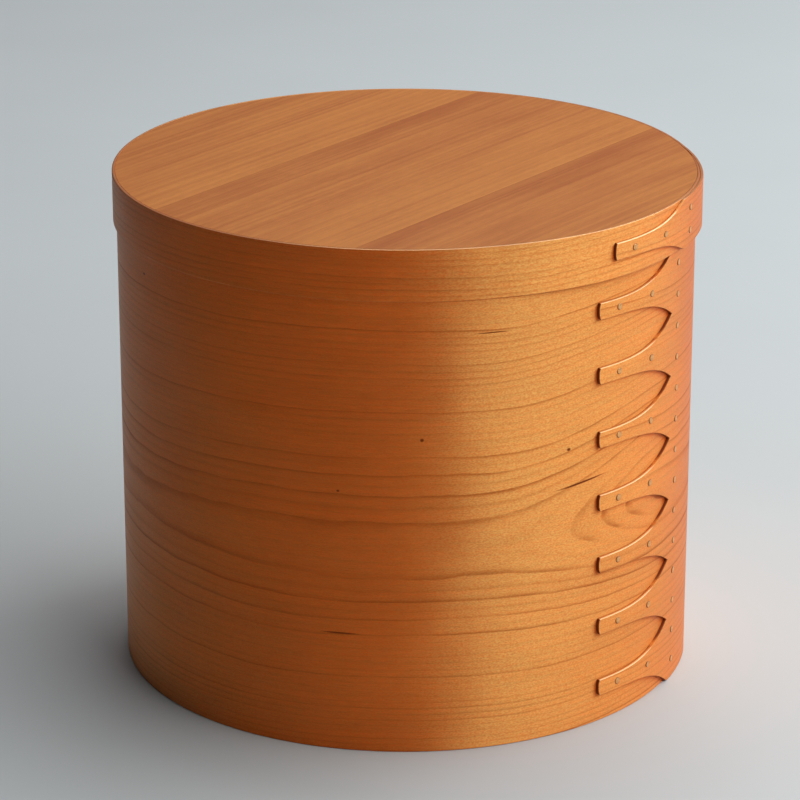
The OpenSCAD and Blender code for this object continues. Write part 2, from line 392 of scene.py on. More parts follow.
# Gum streaks and flecks on the box strip: place along it, height, half length, half width, slope
GUM_MARKS = (
    (1.010, 0.1455, 0.0200, 0.0007, 0.09),
    (0.873, 0.0690, 0.0130, 0.0006, 0.0),
    (0.917, 0.1812, 0.0013, 0.0012, 0.0),
    (1.001, 0.1664, 0.0015, 0.0011, 0.0),
    (0.872, 0.1512, 0.0011, 0.0008, 0.0),
    (0.735, 0.2468, 0.0013, 0.0010, 0.0),
    (0.955, 0.2392, 0.0110, 0.0004, 0.0),
    (0.410, 0.0960, 0.0160, 0.0006, 0.02),
    (0.300, 0.2010, 0.0014, 0.0010, 0.0),
)
# Height of the rings' middle, their distance from the pith, and how much they open out
BOX_GRAIN = SimpleNamespace(centre=0.119, pith=0.045, opening=0.014, marks=GUM_MARKS)
LID_GRAIN = SimpleNamespace(centre=0.160, pith=0.020, opening=0.0, marks=())

# How far the rings wander, broadly and finely
RING_SWAY, RING_RIPPLE = 0.0110, 0.0014
SWAY = Cloud(5, 9, detail=1, shift=3.7)
RIPPLE = Cloud(38, 75, shift=1.3)
# Stretches of the strip, near the fingers, over which the rings' middle rises and they open out
CENTRE_RISE_AT, CENTRE_RISE = (0.96, 1.08), 0.007
OPENING_AT = (0.95, 1.10)
# The heart figure has a dark line in each ring: heights off the rings' middle and stretch
HEART_HEIGHTS, HEART_AT, HEART_DARKNESS = (0.018, 0.010), (0.98, 1.03), 0.95
# Darkness across one growth ring, from early wood to late wood
LATE_WOOD = ((0.0, 0.08), (0.30, 0.0), (0.64, 0.17), (0.84, 0.85), (0.93, 1.0), (1.0, 0.08))
RING_BREAKS = Cloud(12, 160, shift=8)

FIBRE = Cloud(130, 1700, 900, detail=3)
STREAK = Cloud(9, 420, 300, detail=3)
SPECK = Cloud(760, 1900, 900)
PATCH = Cloud(7, 16, shift=5.1)
WAVE = Cloud(9, 15, shift=4.4)
BAND_RELIEF = 0.00012
# Steps of the attribute edge for pale colour, rubbed shine and dark end grain. The pale is sanded
# wood and a painted highlight on upward sides and the top rim; the dark also marks where a side
# meets the layer under it, and lies along the bands' lower edges as painted shade
SANDED_EDGE_AND_HIGHLIGHT = (0.1, 0.9, 0.0, 0.75)
RUBBED_EDGE = (0.04, 0.40, 0.0, 0.42)
END_GRAIN_AND_SHADE = (-0.05, -0.6, 0.0, 0.95)


def ring_lines(nodes, finish, grain, along, up):
    """How dark the rings' late wood is. Some rings are darker by chance, and all are broken."""
    sway = nodes.swing(SWAY, along, up)
    ripple = nodes.swing(RIPPLE, along, up)
    off = up - along.step(*CENTRE_RISE_AT, grain.centre, grain.centre + CENTRE_RISE)
    pith = along.step(*OPENING_AT, grain.pith, grain.pith - grain.opening)
    reach = (off * off + pith * pith) ** 0.5 + sway * RING_SWAY + ripple * RING_RIPPLE
    ring = reach / finish.ring_spacing
    number = ring.floor()
    heart = off.magnitude().step(*HEART_HEIGHTS) * along.step(*HEART_AT)
    chance = nodes.add("ShaderNodeTexWhiteNoise", {"noise_dimensions": "1D"}, {"W": number})
    chance = chance.most(heart * HEART_DARKNESS)
    late = nodes.ramp(ring - number, LATE_WOOD)
    breaks = nodes.noise(RING_BREAKS, along, up).step(0.28, 0.60, 0.40, 1.0)
    return late * (chance**2.0 * 0.66 + 0.10) * breaks


def band_cherry(nodes, finish, grain):
    """Flat-sawn cherry on a bent strip, with a golden shimmer, and pale and dark along its edges.
    """
    along, depth, up = nodes.parts(nodes.attribute("strip", "Vector"))
    edge = nodes.attribute("edge", "Fac")
    line = ring_lines(nodes, finish, grain, along, up)
    fibre = nodes.swing(FIBRE, along, up, depth)
    streak = nodes.swing(STREAK, along, up, depth)
    patch = nodes.noise(PATCH, along, up).step(0.32, 0.70)

    deep = patch * 0.55 + (streak + 0.5) * 0.45
    wood = nodes.tint(deep, finish.wood_light, finish.wood_deep)
    wood = nodes.tint(line * 0.72, wood, finish.wood_line)
    wood = nodes.shaded(wood, fibre * 0.55 + streak * 0.45 + 1.0)
    bright = 1.0 - line * 0.9
    for at, high, long, thick, slope in grain.marks:
        run = along - at
        rise = up - high - run * slope
        mark = (1.0 - (run * run) / long**2 - (rise * rise) / thick**2).step(0.0, 0.8)
        wood = nodes.tint(mark * 0.75, wood, finish.gum)
        bright = bright * (1.0 - mark)
    # Upward sides and the top rim are tinted pale: sanded wood, and a painted highlight
    wood = nodes.tint(edge.step(*SANDED_EDGE_AND_HIGHLIGHT), wood, finish.wood_edge)

    rough = fibre * 0.14 + finish.roughness + line * 0.20
    wave = nodes.noise(WAVE, along, up)
    face = nodes.bumped(fibre * 0.6 + streak * 0.4 - line * 0.5 + wave * 55.0, BAND_RELIEF)
    golden = (*finish.sheen, 1.0)
    satin = nodes.surface(
        Base_Color=wood, Roughness=rough, Normal=face, IOR=1.42, Specular_IOR_Level=0.3,
        Specular_Tint=golden,
    )
    gold = nodes.surface(
        Base_Color=golden, Metallic=1.0, Roughness=rough + 0.09,
        Normal=nodes.raised(face, finish.upward), Anisotropic=0.67, Anisotropic_Rotation=0.25,
    )
    pale = (*finish.wood_edge, 1.0)
    rubbed = nodes.surface(Base_Color=pale, Metallic=1.0, Roughness=0.35)
    # Dark end grain, also laid along the bands' lower edges as painted shade
    ends = nodes.tint(fibre + 0.5, finish.wood_end, finish.wood_line)
    dark_end_and_shade = nodes.surface(Base_Color=ends, Roughness=0.7, IOR=1.4)

    speck = nodes.noise(SPECK, along, up, depth).step(0.2, 0.8, 0.6, 1.4)
    shader = nodes.blend(bright * speck * finish.shine, satin, gold)
    shader = nodes.blend(edge.step(*RUBBED_EDGE), shader, rubbed)
    return nodes.blend(edge.step(*END_GRAIN_AND_SHADE), shader, dark_end_and_shade)


# Darkness across one leaf, which is dark along its first edge and pale along its last
LEAF_TONES = (
    (0.0, 0.92), (0.06, 0.84), (0.20, 0.60), (0.222, 0.12), (0.235, 0.52), (0.36, 0.60),
    (0.50, 0.40), (0.61, 0.46), (0.63, 0.30), (0.80, 0.24), (0.93, 0.10), (1.0, 0.02),
)
# Clouds on the leaves, where the third scale sets each leaf apart
LEAF_WAVE = Cloud(6, 9, 3, detail=1)
LEAF_BANDS = Cloud(1.6, 42, 1.7, detail=3)
LEAF_STREAK = Cloud(7, 420, 5, detail=3)
LEAF_FIBRE = Cloud(130, 1700, 5, detail=3)
LEAF_CLOUD = Cloud(13, 48, 2.2)
BOARD_RELIEF = 0.0001
# Half width of a glue joint, as a share of a leaf, and its darkness
GLUE_WIDTH, GLUE_DARKNESS = 0.004, 0.30


def board_cherry(nodes, finish):
    """Facing leaves cut from one flitch, so that each has the same streaks."""
    x, y, _ = nodes.object_place()
    cos, sin = math.cos(finish.grain_angle), math.sin(finish.grain_angle)
    along = x * cos + y * sin
    across = x * sin - y * cos
    leaf = (across - finish.leaf_joint) / finish.leaf_width
    number = leaf.floor()
    part = leaf - number
    wave = nodes.swing(LEAF_WAVE, along, part, number) * 0.030
    tone = nodes.ramp(part + wave * part.step(0.02, 0.10), LEAF_TONES)
    bands = nodes.swing(LEAF_BANDS, along, part, number)
    streak = nodes.swing(LEAF_STREAK, along, across, number)
    fibre = nodes.swing(LEAF_FIBRE, along, across, number)
    cloud = nodes.swing(LEAF_CLOUD, along, across, number)
    dark = tone * 0.50 + bands * 0.85 + streak * 0.45 + cloud * 0.55 + 0.18
    wood = nodes.tint(dark.step(-0.18, 1.18), finish.board_light, finish.board_dark)
    wood = nodes.shaded(wood, fibre * 0.45 + 1.0)
    glue = part.pingpong(0.5).step(0.0, GLUE_WIDTH, GLUE_DARKNESS, 0.0)
    wood = nodes.tint(glue, wood, finish.wood_line)
    return nodes.surface(
        Base_Color=wood, Roughness=fibre * 0.12 + finish.roughness, IOR=1.5,
        Specular_IOR_Level=0.35, Specular_Tint=(*finish.sheen, 1.0),
        Normal=nodes.bumped(fibre * 0.6 + streak * 0.4, BOARD_RELIEF),
    )


PLY_THICKNESS = 0.00145
PLY_ALONG, PLY_ACROSS = 30.0, 930.0
PLY_FIBRE = Cloud(1, 1, 4, detail=3)


def board_core(nodes, finish):
    """Thin pale plies, one above the other, with the grain of each turned."""
    x, y, z = nodes.object_place()
    ply = z / PLY_THICKNESS
    number = ply.floor()
    turned = number.pingpong(1.0)
    finer = turned * (PLY_ACROSS - PLY_ALONG)
    fibre = nodes.noise(PLY_FIBRE, x * (finer + PLY_ALONG), y * (PLY_ACROSS - finer), number)
    wood = nodes.shaded(finish.core_pale, (fibre - 0.5) * 0.40 + turned * 0.10 + 0.92)
    wood = nodes.tint((ply - number).step(0.86, 0.98, 0.0, 0.5), wood, finish.wood_deep)
    return nodes.surface(
        Base_Color=wood, Roughness=fibre * 0.2 + 0.55, Normal=nodes.bumped(fibre, BOARD_RELIEF)
    )


TACK_CLOUD = Cloud(900, 900, 900)
TACK_GRIT = Cloud(5200, 5200, 5200)
TACK_RELIEF = 0.00006


def tack_copper(nodes, finish):
    """Copper, tarnished in clouds, and darkest round the rims of the heads as painted shade."""
    place = nodes.object_place()
    cloud = nodes.noise(TACK_CLOUD, *place)
    grit = nodes.noise(TACK_GRIT, *place)
    # Painted shade: darker towards each head's rim, where it meets the wood
    rim = nodes.attribute("crown", "Fac").step(0.84, 0.30, 0.0, 0.9)
    tarnish = cloud.step(0.38, 0.72, 0.0, 0.3).most(rim)
    return nodes.surface(
        Base_Color=nodes.tint(tarnish, finish.copper, finish.tarnish), Metallic=0.85,
        Roughness=cloud * 0.16 + grit * 0.08 + 0.22,
        Normal=nodes.bumped(cloud * 0.7 + grit * 0.3, TACK_RELIEF),
    )


FLOOR_CLOUD = Cloud(5, 5, 1, detail=3)


def floor_paint(nodes, stage):
    """Pale matt floor with a trace of unevenness."""
    cloud = nodes.noise(FLOOR_CLOUD, *nodes.object_place())
    tone = nodes.shaded(stage.floor, (cloud - 0.5) * 0.05 + 1.0)
    rough = cloud * 0.1 + 0.80
    return nodes.surface(Base_Color=tone, Roughness=rough, Specular_IOR_Level=0.2)


class Band(SimpleNamespace):
    """One band worked out from the sizes: lengths in metres, angles in radians."""

    def turn(self, s, z):
        """Direction of a place on the lap, s behind the line of finger tips at its height."""
        s += self.lean * (self.high - z) / (self.high - self.low)
        return self.facing + math.asin((s - self.gap / 2) / self.lap_radius)

    @property
    def tip(self):
        return self.turn(0.0, self.high)


def lap_angles(sizes):
    """Where the ramp of the box's lap starts and ends, and what turns lengths to angles."""

    def arc(size):
        return size / (sizes.inside_radius + sizes.box_wall)

    start = sizes.tip_angle + arc(sizes.lap_length)
    return start, start + arc(sizes.ramp_length), arc


def box_band_of(sizes):
    start, foot, arc = lap_angles(sizes)
    rise = sizes.box_wall + sizes.seam / 2
    top = sizes.lid_foot - sizes.top_finger_drop
    pitch = (top - sizes.first_finger) / max(sizes.finger_count - 1, 1)
    fingers = [sizes.first_finger + k * pitch for k in range(sizes.finger_count)]
    root = sizes.finger_length + sizes.root_tack
    tacks = []
    for z in fingers:
        tacks += [(sizes.tip_tack, z), (sizes.middle_tack, z)]
        tacks += [(root, z - pitch / 4), (root, z + pitch / 4)]
    return Band(
        radius=sizes.inside_radius, wall=sizes.box_wall, low=sizes.box_foot, high=sizes.box_rim,
        ease=sizes.box_ease, rise=rise, ramp_start=start, ramp_foot=foot,
        feather=foot - arc(sizes.feather_stop),
        # Nothing lies under the box band, so its swell has no height
        swell=(0.0, start - 1.0, start - 0.5, start, foot),
        fingers=fingers, tip_width=sizes.tip_width, runs=(sizes.bottom_run, sizes.top_run),
        gap=sizes.finger_length, lean=sizes.lean,
        facing=sizes.tip_angle + arc(sizes.finger_length / 2),
        lap_radius=sizes.inside_radius + rise + sizes.box_wall, tacks=tacks,
    )


def lid_band_of(sizes):
    start, box_foot, arc = lap_angles(sizes)
    tip = sizes.tip_angle + arc(sizes.lid_tip_back)
    full = tip - arc(2 * sizes.clearance)
    swell_rise = sizes.box_wall + sizes.seam / 2
    rise = swell_rise + sizes.lid_wall + sizes.seam / 2
    radius = sizes.inside_radius + sizes.box_wall + sizes.lid_gap
    middle = (sizes.lid_foot + sizes.lid_rim) / 2 + sizes.lid_finger_up
    root = sizes.lid_finger_length + sizes.root_tack
    half = sizes.lid_root_spacing / 2
    return Band(
        radius=radius, wall=sizes.lid_wall, low=sizes.lid_foot, high=sizes.lid_rim,
        ease=sizes.lid_ease, rise=rise, ramp_start=start,
        ramp_foot=box_foot + arc(sizes.clearance), feather=box_foot - arc(sizes.feather_stop),
        swell=(swell_rise, full - arc(sizes.ramp_length), full, start, box_foot),
        fingers=[middle], tip_width=sizes.lid_tip_width,
        runs=(sizes.lid_finger_length, sizes.lid_finger_length), gap=sizes.lid_finger_length,
        lean=0.0, facing=tip + arc(sizes.lid_finger_length / 2),
        lap_radius=radius + rise + sizes.lid_wall,
        tacks=[
            (sizes.tip_tack, middle), (sizes.middle_tack, middle),
            (root, middle - half), (root, middle + half),
        ],
    )


def spread(first, last, count):
    """Evenly spaced places from first to last, in so many steps."""
    return [first + (last - first) * i / count for i in range(count + 1)]


class FlatStrip:
    """A band's strip laid flat: x on from the tips, y out from the inner face, and z up."""

    def __init__(self, band, sizes):
        self.band = band
        self.sizes = sizes
        self.face = band.wall - sizes.skin
        self.radius = band.radius + band.wall
        self.verts = []
        self.looks = []
        self.faces = []

    def is_outermost(self, k, upper):
        """Whether a side of finger k runs out at the band's edge."""
        return k == (len(self.band.fingers) - 1 if upper else 0)

    def side(self, k, upper, s):
        """Height of one side of finger k at s, and whether it is an open edge there."""
        band, flare = self.band, self.sizes.flare
        middle = band.fingers[k]
        sign = 1 if upper else -1
        corner = middle + sign * band.tip_width / 2
        if self.is_outermost(k, upper):
            edge = band.high if upper else band.low
            far = edge + sign * OVERRUN
            height = far + (corner - far) * (1 - min(s / band.runs[upper], 1.0) ** flare)
            return (min(height, edge) if upper else max(height, edge)), True
        gap = (middle + band.fingers[k + sign]) / 2
        if s >= band.gap:
            return gap, False
        return gap + (corner - gap) * (1 - (s / band.gap) ** flare), True

    def slope(self, k, upper, s):
        """How steeply a side climbs at s, whichever way."""
        before, after = self.side(k, upper, max(s - NUDGE, 0)), self.side(k, upper, s + NUDGE)
        return abs(after[0] - before[0]) / (2 * NUDGE)

    def column(self, s):
        """Heights of the rows of each finger at s."""
        ease = self.band.ease
        rows = []
        for k in range(len(self.band.fingers)):
            low, high = (self.side(k, upper, s)[0] for upper in (False, True))
            wide_low, wide_high = (
                math.hypot(1, self.slope(k, upper, s)) for upper in (False, True)
            )
            below = [low + e * ease * wide_low for e in EASE_ROWS]
            above = [high - e * ease * wide_high for e in reversed(EASE_ROWS)]
            rows.append(below + spread(below[-1], above[0], FLAT_ROWS + 1)[1:-1] + above)
        return rows

    def outer_edge(self, k, row, s, z):
        """How far the rounded outer edge lies below the outer face, and its look there."""
        band = self.band
        steps = len(EASE_ROWS)
        rows = 2 * steps + FLAT_ROWS
        nearest = min(row, rows - 1 - row)
        upper = row > rows / 2
        side, is_open = self.side(k, upper, s)
        off = EASE_ROWS[min(nearest, steps - 1)]
        if not is_open:
            off = math.hypot(s - band.gap, z - side) / band.ease
        across = max(0.0, 1 - off)
        endwise = max(0.0, 1 - s / band.ease)
        left = min(1.0, math.hypot(across, endwise))
        look = self.cut_look(k, upper, s)
        # Downward sides keep no pale look, so the pale on upward sides is partly a painted
        # highlight
        if look <= 0:
            look *= DARK_REACH
        elif not upper:
            look = 0.0
        fall = band.ease * (1 - math.sqrt(1 - left * left))
        return fall, max(-1.0, min(1.0, across * look - endwise))

    def is_rim(self, k, upper, s):
        """Whether a side lies on the band's own edge at s."""
        return self.side(k, upper, s)[0] in (self.band.low, self.band.high)

    def cut_look(self, k, upper, s):
        """1 along the grain, -1 across it. Top rim: pale, partly a painted highlight. Lower edge:
        -1, painted shade.
        """
        band = self.band
        if self.is_rim(k, upper, s):
            # The band's lower edge gets -1 as painted shade, not as end grain
            return RIM_LOOK if self.side(k, upper, s)[0] == band.high else -1.0
        if s >= band.gap and not self.is_outermost(k, upper):
            return 1.0 if s > band.gap + band.ease else -1.0
        flat, steep = GRAIN_SLOPES
        climb = (self.slope(k, upper, s) - flat) / (steep - flat)
        return 1 - 2 * min(1.0, max(0.0, climb))

    def foot_look(self, k, upper, s):
        """The look where a side meets the layer under it: dark, save on a band's edge."""
        look = self.cut_look(k, upper, s) if s > 0 else -1.0
        return look if look < 0 or self.is_rim(k, upper, s) else FOOT_LOOK

    def rim_fall(self, z):
        """How far a rim's rounded inner edge stands off the inner face."""
        band = self.band
        ease = band.ease * INNER_EASE
        left = max(0.0, 1 - min(z - band.low, band.high - z) / ease)
        return ease * (1 - math.sqrt(max(0.0, 1 - left * left)))

    def point(self, x, y, z, look=0.0):
        self.verts.append((x, y, z))
        self.looks.append(look)
        return len(self.verts) - 1

    def stops(self):
        """Places of the columns, close together at the tips and at the gaps' ends."""
        band = self.band
        ease = band.ease
        places = [e * ease for e in EASE_ROWS]
        first, last = AFTER_EDGE * ease, band.gap - BEFORE_GAP_END * ease
        places += spread(first, last, round((last - first) / FINGER_STEP))
        places += [band.gap + e * ease for e in GAP_END_COLUMNS]
        first, last = band.gap + AFTER_EDGE * ease, max(*band.runs, band.gap) + ROOT_MARGIN
        return places + spread(first, last, max(2, round((last - first) / ROOT_STEP)))

    def cut_column(self, s):
        """Points of all fingers at s on both faces. Joined fingers share a point."""
        band = self.band
        outer, inner = [], []
        for k, heights in enumerate(self.column(s)):
            out_row, in_row = [], []
            low, high = heights[0], heights[-1]
            is_joined = k > 0 and (not self.side(k, False, s)[1] or abs(s - band.gap) < NOTHING)
            for row, z in enumerate(heights):
                if row == 0 and is_joined:
                    out_row.append(outer[-1][-1])
                    in_row.append(inner[-1][-1])
                    continue
                off_middle = (2 * z - low - high) / max(high - low, NOTHING)
                back = self.sizes.tip_round * off_middle**4 * max(0.0, 1 - s / TIP_LENGTH)
                x = (band.turn(s + back, z) - band.tip) * self.radius
                fall, look = self.outer_edge(k, row, s, z)
                out_row.append(self.point(x, self.face - fall, z, look))
                is_edge = s == 0 or row in (0, len(heights) - 1)
                foot = self.foot_look(k, row > 0, s) if is_edge else 0.0
                in_row.append(self.point(x, self.rim_fall(z), z, foot))
            outer.append(out_row)
            inner.append(in_row)
        return s, outer, inner

    def build(self):
        """Cuts the fingers, then runs on. Gives points, faces and looks."""
        last = len(self.band.fingers) - 1
        columns = [self.cut_column(s) for s in self.stops()]
        for (_, outer, inner), (s_next, outer_next, inner_next) in zip(columns, columns[1:]):
            is_apart = s_next <= self.band.gap + NOTHING
            for k in range(last + 1):
                out, out_next, into, into_next = outer[k], outer_next[k], inner[k], inner_next[k]
                self.sheet(out, out_next, False)
                self.sheet(into, into_next, True)
                if k == 0 or is_apart:
                    self.faces.append((out[0], into[0], into_next[0], out_next[0]))
                if k == last or is_apart:
                    self.faces.append((out[-1], out_next[-1], into_next[-1], into[-1]))
        _, outer, inner = columns[0]
        for into, out in zip(inner, outer):
            self.sheet(into, out, False)
        self.run_on(columns[-1])
        return self.verts, self.faces, self.looks

    def sheet(self, column, following, turned):
        """Faces between two columns of points."""
        for a, b, c, d in zip(column, following, following[1:], column[1:]):
            self.faces.append((a, d, c, b) if turned else (a, b, c, d))

    def kept_rows(self, outer, line):
        """Rows that run on from the last finger column: both rounded edges and a few between."""
        steps = len(EASE_ROWS)
        kept = set(line[:steps]) | set(line[-steps:])
        for k, row in enumerate(outer):
            kept.add(row[steps + FLAT_ROWS // 2])
            if k:
                kept.add(row[0])
        return [i for i, v in enumerate(line) if v in kept]

    def run_on(self, column):
        """Carries the strip on round the hoop to its feathered end."""
        band = self.band
        s, outer, inner = column
        out_line, in_line = (list(dict.fromkeys(sum(rows, []))) for rows in (outer, inner))
        keep = self.kept_rows(outer, out_line)
        _, depths, heights = zip(*(self.verts[out_line[i]] for i in keep))
        looks = [self.looks[out_line[i]] for i in keep]
        start = band.turn(s, band.high)
        leans = [band.turn(s, z) - start for z in heights]
        end = 2 * math.pi + band.feather
        count = math.ceil((end - start) / HOOP_STEP)
        before_out, before_in = [out_line[i] for i in keep], [in_line[i] for i in keep]
        for c in range(1, count + 1):
            turn = start + (end - start) * c / count
            left = max(0.0, 1 - c / LEAN_COLUMNS)
            places = [(turn + lean * left * left - band.tip) * self.radius for lean in leans]
            now_out = [self.point(*point) for point in zip(places, depths, heights, looks)]
            now_in = [
                self.point(x, self.rim_fall(z), z, RIM_LOOK * (z == band.high))
                for x, z in zip(places, heights)
            ]
            if c == 1:
                for j, (a, b) in enumerate(zip(keep, keep[1:])):
                    many = out_line[a : b + 1]
                    self.faces.append((*reversed(many), now_out[j], now_out[j + 1]))
                    self.faces.append((*in_line[a : b + 1], now_in[j + 1], now_in[j]))
            else:
                self.sheet(before_out, now_out, False)
                self.sheet(before_in, now_in, True)
            self.faces.append((before_out[0], before_in[0], now_in[0], now_out[0]))
            self.faces.append((before_out[-1], now_out[-1], now_in[-1], before_in[-1]))
            before_out, before_in = now_out, now_in
        self.sheet(before_out, before_in, False)


def ramp_arc(turn, base, rise, high, low):
    """Radius of the off-centre arc that is base + rise towards high and base towards low."""
    half = (low - high) * 0.5
    shift = rise / (half.sine() * 2.0)
    off = turn - (low + high) * 0.5
    side = shift * off.cosine()
    return (base * base + shift * shift + base * rise - side * side) ** 0.5 - shift * off.sine()


BEND_SIZES = (
    "Radius", "Wall", "Seam", "Lap Rise", "Tip Angle", "Ramp Start", "Ramp Foot",
    "Swell Rise", "Swell Start", "Swell Full", "Swell Ramp Start", "Swell Ramp Foot",
)
TACK_SIZES = ("Head Diameter", "Head Height", "Shank Diameter", "Clinch Diameter", "Grip")


def geometry_tree(name, sizes, others):
    """A geometry tree with named inputs, and its input fields by name."""
    tree = bpy.data.node_groups.new(name, "GeometryNodeTree")
    tree.interface.new_socket("Geometry", in_out="INPUT", socket_type="NodeSocketGeometry")
    tree.interface.new_socket("Geometry", in_out="OUTPUT", socket_type="NodeSocketGeometry")
    for other, kind in (*((size, "NodeSocketFloat") for size in sizes), *others):
        tree.interface.new_socket(other, in_out="INPUT", socket_type=kind)
    nodes = Nodes(tree)
    source = tree.nodes.new("NodeGroupInput")
    fields = {socket.name: Field(nodes, socket) for socket in source.outputs if socket.name}
    return tree, nodes, fields


def finish_tree(nodes, geometry, material):
    """Ends a geometry tree with real, smooth geometry in its material."""
    for kind, values in (
        ("GeometryNodeRealizeInstances", {}),
        ("GeometryNodeSetShadeSmooth", {"Shade Smooth": True}),
        ("GeometryNodeSetMaterial", {"Material": material}),
        ("NodeGroupOutput", {}),
    ):
        geometry = nodes.add(kind, values={"Geometry": geometry, **values})


def bend_tree():
    """Bends a flat strip into a lapped hoop; the attribute strip keeps each point's flat place."""
    others = [("Material", "NodeSocketMaterial")]
    tree, nodes, get = geometry_tree("Bend strip", BEND_SIZES, others)
    flat = nodes.add("GeometryNodeInputPosition")
    along, depth, up = nodes.parts(flat)
    radius, wall = get["Radius"], get["Wall"]
    turn = get["Tip Angle"] + along / (radius + wall)

    rise = get["Swell Rise"]
    swell = ramp_arc(turn, radius, rise, get["Swell Full"], get["Swell Start"])
    fall = ramp_arc(turn, radius, rise, get["Swell Ramp Start"], get["Swell Ramp Foot"])
    hoop = swell.least(fall).least(radius + rise).most(radius)
    lap = ramp_arc(turn, radius, get["Lap Rise"], get["Ramp Start"], get["Ramp Foot"])
    lap = lap.least(radius + get["Lap Rise"])
    is_outer = turn < math.pi / 2
    is_inner = turn > 3 * math.pi / 2
    inner = hoop + is_outer * (hoop.most(lap) - hoop)
    outer = inner + wall
    under = outer.least(lap - get["Seam"] * 0.5)
    outer = outer + is_inner * (under - outer)

    away = inner + depth / wall * (outer - inner)
    bent = nodes.vector(away * turn.cosine(), away * turn.sine(), up)
    stored = nodes.store(get["Geometry"], "strip", flat, "FLOAT_VECTOR")
    moved = nodes.add("GeometryNodeSetPosition", values={"Geometry": stored, "Position": bent})
    finish_tree(nodes, moved, get["Material"])
    return tree


def tack_tree():
    """Sets one tack on each point, square to the attribute outward, a little turned by chance.

    The attribute crown goes from 0 at a head's rim to 1 at its top.
    """
    others = [("Seed", "NodeSocketInt"), ("Material", "NodeSocketMaterial")]
    tree, nodes, get = geometry_tree("Set tacks", TACK_SIZES, others)

    def moved(shape, scale, height):
        place = nodes.vector(0.0, 0.0, height)
        values = {"Geometry": shape, "Scale": scale, "Translation": place}
        return nodes.add("GeometryNodeTransform", values=values)

    ball = nodes.add("GeometryNodeMeshUVSphere", values={"Segments": 24, "Rings": 12})
    half, grip = get["Head Diameter"] * 0.5, get["Grip"]
    head = moved(ball, nodes.vector(half, half, get["Head Height"]), 0.0)
    half = get["Clinch Diameter"] * 0.5
    clinch = moved(ball, nodes.vector(half, half, CLINCH_HEIGHT), 0.0 - grip)
    rod = nodes.add(
        "GeometryNodeMeshCylinder",
        values={"Vertices": 12, "Radius": get["Shank Diameter"] * 0.5, "Depth": grip},
    )
    shank = moved(rod, (1.0, 1.0, 1.0), grip * -0.5)
    joined = nodes.add("GeometryNodeJoinGeometry")
    for shape in (shank, clinch, head):
        tree.links.new(shape.socket, joined.socket.node.inputs[0])
    _, _, up = nodes.parts(nodes.add("GeometryNodeInputPosition"))
    tack = nodes.store(joined, "crown", up / get["Head Height"], "FLOAT")

    outward = nodes.add(
        "GeometryNodeInputNamedAttribute", {"data_type": "FLOAT_VECTOR"}, {"Name": "outward"}
    )
    facing = nodes.add("FunctionNodeAlignRotationToVector", {"axis": "Z"}, {"Vector": outward})
    turn = (TACK_TILT, TACK_TILT, TACK_SPIN)
    spin = nodes.chance([-t for t in turn], turn, get["Seed"])
    turned = nodes.add(
        "FunctionNodeRotateRotation",
        {"rotation_space": "LOCAL"},
        {"Rotation": facing, "Rotate By": spin},
    )
    size = nodes.chance(TACK_LEAST, TACK_MOST, get["Seed"])
    placed = nodes.add(
        "GeometryNodeInstanceOnPoints",
        values={"Points": get["Geometry"], "Instance": tack, "Rotation": turned, "Scale": size},
    )
    finish_tree(nodes, placed, get["Material"])
    return tree


def added(name, data):
    """A new object in the scene."""
    item = bpy.data.objects.new(name, data)
    bpy.context.scene.collection.objects.link(item)
    return item


def made_by_tree(name, mesh, tree, inputs):
    """Runs a geometry tree on a mesh and gives a plain object with what comes out."""
    source = added(name + ".source", mesh)
    modifier = source.modifiers.new(tree.name, "NODES")
    modifier.node_group = tree
    sockets = [item for item in tree.interface.items_tree if item.in_out == "INPUT"]
    names = {item.name: item.identifier for item in sockets}
    for key, value in inputs.items():
        modifier[names[key]] = value
    depsgraph = bpy.context.evaluated_depsgraph_get()
    made = bpy.data.meshes.new_from_object(source.evaluated_get(depsgraph), depsgraph=depsgraph)
    bpy.data.objects.remove(source)
    if not made.polygons:
        raise RuntimeError(f"{name}: the geometry tree gave no faces")
    made.name = name
    return added(name, made)


def settle(piece, body, slot, *nodes):
    """Lets a piece ride on its body in place of its CAD nodes."""
    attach(piece, body)
    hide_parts(*nodes)


def bend_band(scene, body, band_of, grain):
    """Cuts a flat strip, bends it and finishes it as the band of one body."""
    name, slot, sizes = f"{body}_band_bent", f"{body}_band_cherry", scene.pantry_box_sizes
    band = band_of(sizes)
    material = finish_material(slot, band_cherry, scene.pantry_box_finish, grain)
    verts, faces, looks = FlatStrip(band, sizes).build()
    flat = bpy.data.meshes.new(name + ".flat")
    flat.from_pydata(verts, [], faces)
    flat.attributes.new("edge", "FLOAT", "POINT").data.foreach_set("value", looks)
    if flat.validate():
        raise RuntimeError(f"{name}: the flat strip has faulty faces")
    values = (
        band.radius, band.wall, sizes.seam, band.rise, band.tip, band.ramp_start, band.ramp_foot,
        *band.swell,
    )
    inputs = dict(zip(BEND_SIZES, values), Material=material)
    piece = made_by_tree(name, flat, bend_tree(), inputs)
    piece.data.set_sharp_from_angle(angle=SHARP_EDGE)
    settle(piece, body, slot, f"{body}_band")


